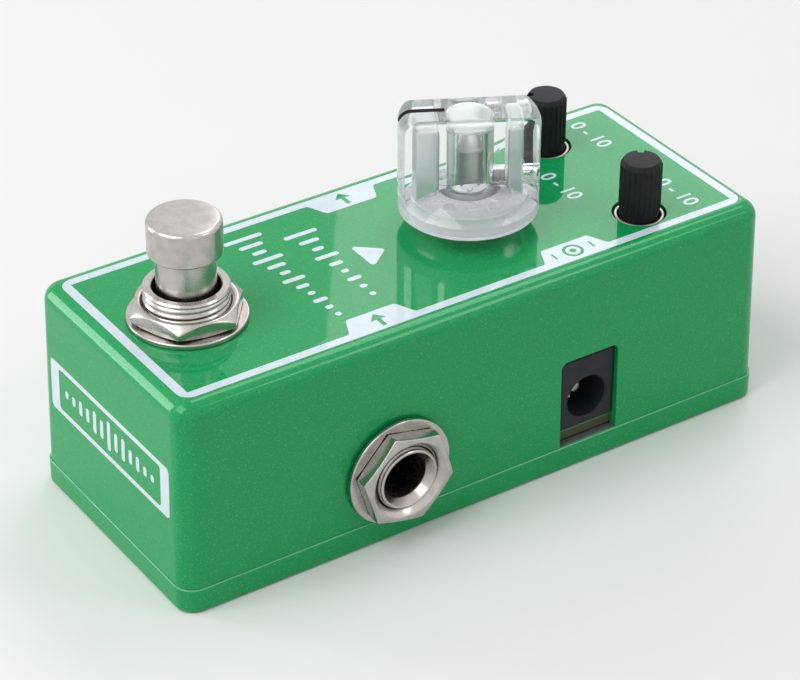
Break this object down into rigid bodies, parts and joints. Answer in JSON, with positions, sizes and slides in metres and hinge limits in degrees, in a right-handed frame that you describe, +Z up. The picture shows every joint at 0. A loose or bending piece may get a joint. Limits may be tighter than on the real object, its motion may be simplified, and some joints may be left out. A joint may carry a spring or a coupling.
{
  "type": "delay pedal",
  "caption": "Compact guitar delay pedal: drafted metal case with footswitch, clear bar knob, slim dials, side jacks and power socket.",
  "frame": {"origin": "middle of the underside, on the surface that the pedal stands on", "axes": "+Z up, +X to the player's right where the input jack and the power socket are, +Y away from the player towards the small dials"},
  "size_m": [0.0448, 0.095, 0.0492],
  "materials": {
    "green_paint": "gloss with fine metallic flake",
    "nickel": "polished nickel plate",
    "steel": "satin",
    "zinc": "dull plate",
    "brass": "bare",
    "clear_plastic": "clear, polished",
    "black_plastic": "matte",
    "grey_plastic": "matte",
    "blue_plastic": "matte",
    "cream_plastic": "matte",
    "board": "glass fibre board with green lacquer",
    "track": "matte",
    "cable": "matte"
  },
  "bodies": {
    "pedal": {"enclosure": "green_paint", "base_plate": "green_paint", "base_screw_1": "steel", "base_screw_2": "steel", "base_screw_3": "steel", "base_screw_4": "steel", "footswitch_bushing": "nickel", "footswitch_nut": "nickel", "footswitch_washer": "nickel", "footswitch_lock_nut": "steel", "footswitch_spring": "steel", "footswitch_housing": "blue_plastic", "footswitch_lug_front": "brass", "footswitch_lug_back": "brass", "time_pot_frame": "zinc", "time_pot_nut": "steel", "time_pot_washer": "steel", "time_pot_body": "black_plastic", "time_pot_track": "track", "level_pot_frame": "zinc", "level_pot_body": "black_plastic", "level_pot_track": "track", "repeat_pot_frame": "zinc", "repeat_pot_body": "black_plastic", "repeat_pot_track": "track", "knob_led": "clear_plastic", "input_jack_washer": "nickel", "input_jack_nut": "nickel", "input_jack_bushing": "nickel", "input_jack_body": "black_plastic", "input_jack_tip_contact": "brass", "output_jack_washer": "nickel", "output_jack_nut": "nickel", "output_jack_bushing": "nickel", "output_jack_body": "black_plastic", "output_jack_tip_contact": "brass", "power_socket_body": "grey_plastic", "power_socket_centre_pin": "nickel", "power_socket_sleeve_contact": "nickel", "main_board": "board", "control_board": "board", "board_header": "black_plastic", "delay_chip": "black_plastic", "amplifier_chip": "black_plastic", "filter_capacitor_1": "grey_plastic", "filter_capacitor_2": "grey_plastic", "filter_capacitor_3": "grey_plastic", "switch_connector": "cream_plastic", "switch_cable": "cable"},
    "footswitch_plunger": {"footswitch_button": "nickel", "footswitch_contact_bridge": "brass"},
    "time_dial": {"time_knob": "clear_plastic", "time_knob_grub_screw": "steel", "time_pot_shaft": "steel"},
    "level_dial": {"level_pot_shaft": "black_plastic"},
    "repeat_dial": {"repeat_pot_shaft": "black_plastic"}
  },
  "joints": [
    {"name": "footswitch_press", "type": "slide", "parent": "pedal", "child": "footswitch_plunger", "axis": [0, 0, -1], "range_m": [0, 0.0025], "stiffness_N_per_m": 4000, "deforming": ["footswitch_spring"]},
    {"name": "time_turn", "type": "hinge", "parent": "pedal", "child": "time_dial", "pos_m": [0, 0.0098, 0.0317], "axis": [0, 0, 1], "range_deg": [-300, 0]},
    {"name": "level_turn", "type": "hinge", "parent": "pedal", "child": "level_dial", "pos_m": [-0.01105, 0.0309, 0.0317], "axis": [0, 0, 1], "range_deg": [-300, 0]},
    {"name": "repeat_turn", "type": "hinge", "parent": "pedal", "child": "repeat_dial", "pos_m": [0.01105, 0.0309, 0.0317], "axis": [0, 0, 1], "range_deg": [-206, 94]}
  ]
}
